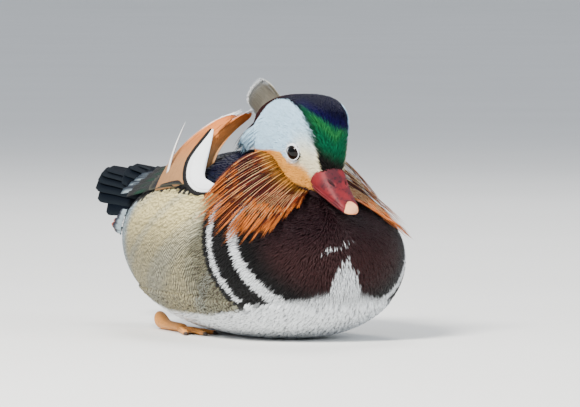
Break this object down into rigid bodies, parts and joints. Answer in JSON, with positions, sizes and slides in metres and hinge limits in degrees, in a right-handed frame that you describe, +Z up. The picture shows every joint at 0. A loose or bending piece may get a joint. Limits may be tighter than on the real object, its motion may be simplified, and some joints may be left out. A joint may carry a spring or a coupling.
{
  "type": "mandarin duck drake figure",
  "caption": "Life-size still mandarin drake sitting on its belly with feet tucked under, head turned a little, ruff fanned and wing sails raised.",
  "frame": {"origin": "on the flat of the belly that rests on the floor, on the body's middle line, a third of the way back from the breast", "axes": "+Z up, +Y from breast to tail, +X to the bird's left"},
  "size_m": [0.1402, 0.312, 0.1565],
  "materials": {
    "body_plumage": "matte feathers: maroon breast, black and white bars, grey-gold flanks, dark back",
    "neck_plumage": "matte dark feathers",
    "face_plumage": "matte white and cream feathers",
    "crown_plumage": "silky green and purple crown",
    "ruff_plumage": "matte rust-orange feathers with pale shafts",
    "bill": "satin horn",
    "nail": "satin pale horn",
    "eye": "polished dark eye",
    "wing_plumage": "matte dark feathers with a blue sheen",
    "scapular_plumage": "matte white feathers edged black",
    "sail_plumage": "matte orange vane with a pale fringe",
    "tail_plumage": "matte blackish feathers",
    "plume": "matte orange-tipped plumes",
    "foot": "scaly orange skin"
  },
  "bodies": {
    "root": {"torso": "body_plumage", "neck": "neck_plumage", "head": "face_plumage", "crest": "crown_plumage", "ruff_right": "ruff_plumage", "ruff_left": "ruff_plumage", "bill_upper": "bill", "bill_lower": "bill", "bill_nail": "nail", "eye_right": "eye", "eye_left": "eye", "wing_right": "wing_plumage", "wing_left": "wing_plumage", "scapulars_right": "scapular_plumage", "scapulars_left": "scapular_plumage", "sail_right": "sail_plumage", "sail_left": "sail_plumage", "tail": "tail_plumage", "rump_plume_right": "plume", "rump_plume_left": "plume", "foot_right": "foot", "foot_left": "foot"}
  },
  "joints": []
}
